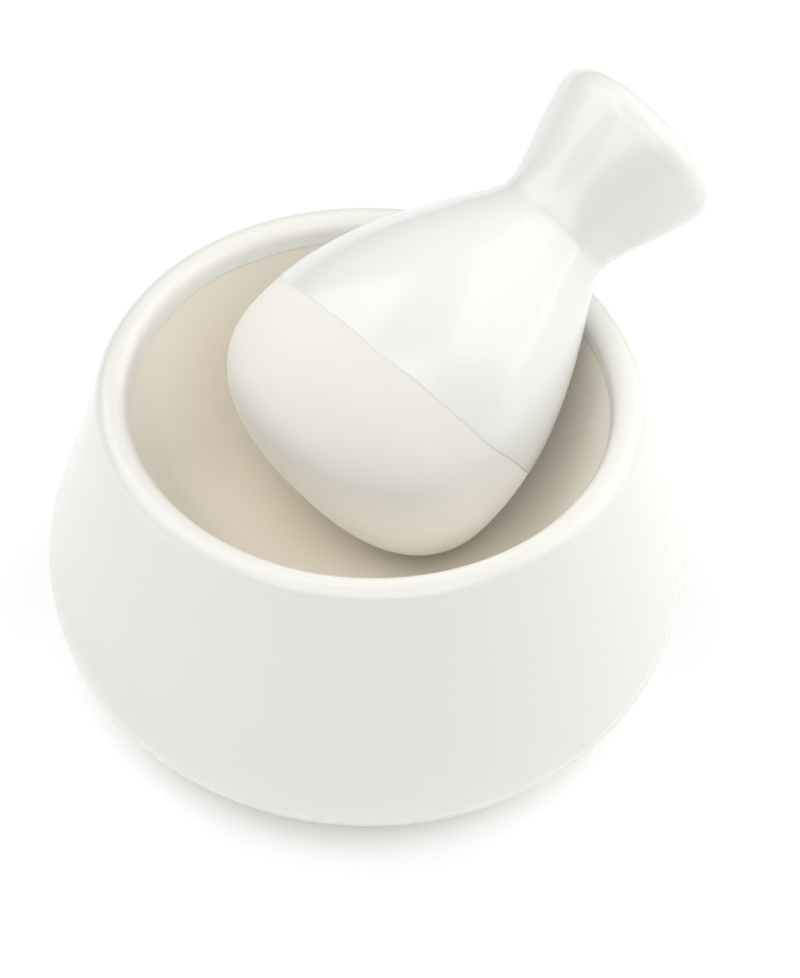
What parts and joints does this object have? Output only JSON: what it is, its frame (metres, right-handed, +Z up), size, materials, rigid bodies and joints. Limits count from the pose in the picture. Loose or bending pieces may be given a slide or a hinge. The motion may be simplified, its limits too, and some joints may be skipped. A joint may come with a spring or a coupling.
{
  "type": "mortar and pestle",
  "caption": "Round porcelain mortar with a low belly and a rounded lip, holding a loose pestle with a broad bare head, a narrow waist and a flared knob.",
  "frame": {"origin": "on the mortar's axis, in the plane that its foot stands on", "axes": "+Z up along the mortar's axis; the resting pestle leans up and away towards +X and +Y, 41 degrees from +X"},
  "size_m": [0.1424, 0.14, 0.126],
  "materials": {
    "glaze_white": "gloss",
    "bisque_porcelain": "matte"
  },
  "bodies": {
    "mortar": {"mortar": "glaze_white"},
    "pestle": {"pestle": "glaze_white"}
  },
  "joints": [
    {"name": "pestle_lift", "type": "slide", "parent": "mortar", "child": "pestle", "axis": [0, 0, 1], "range_m": [0, 0.1]}
  ]
}
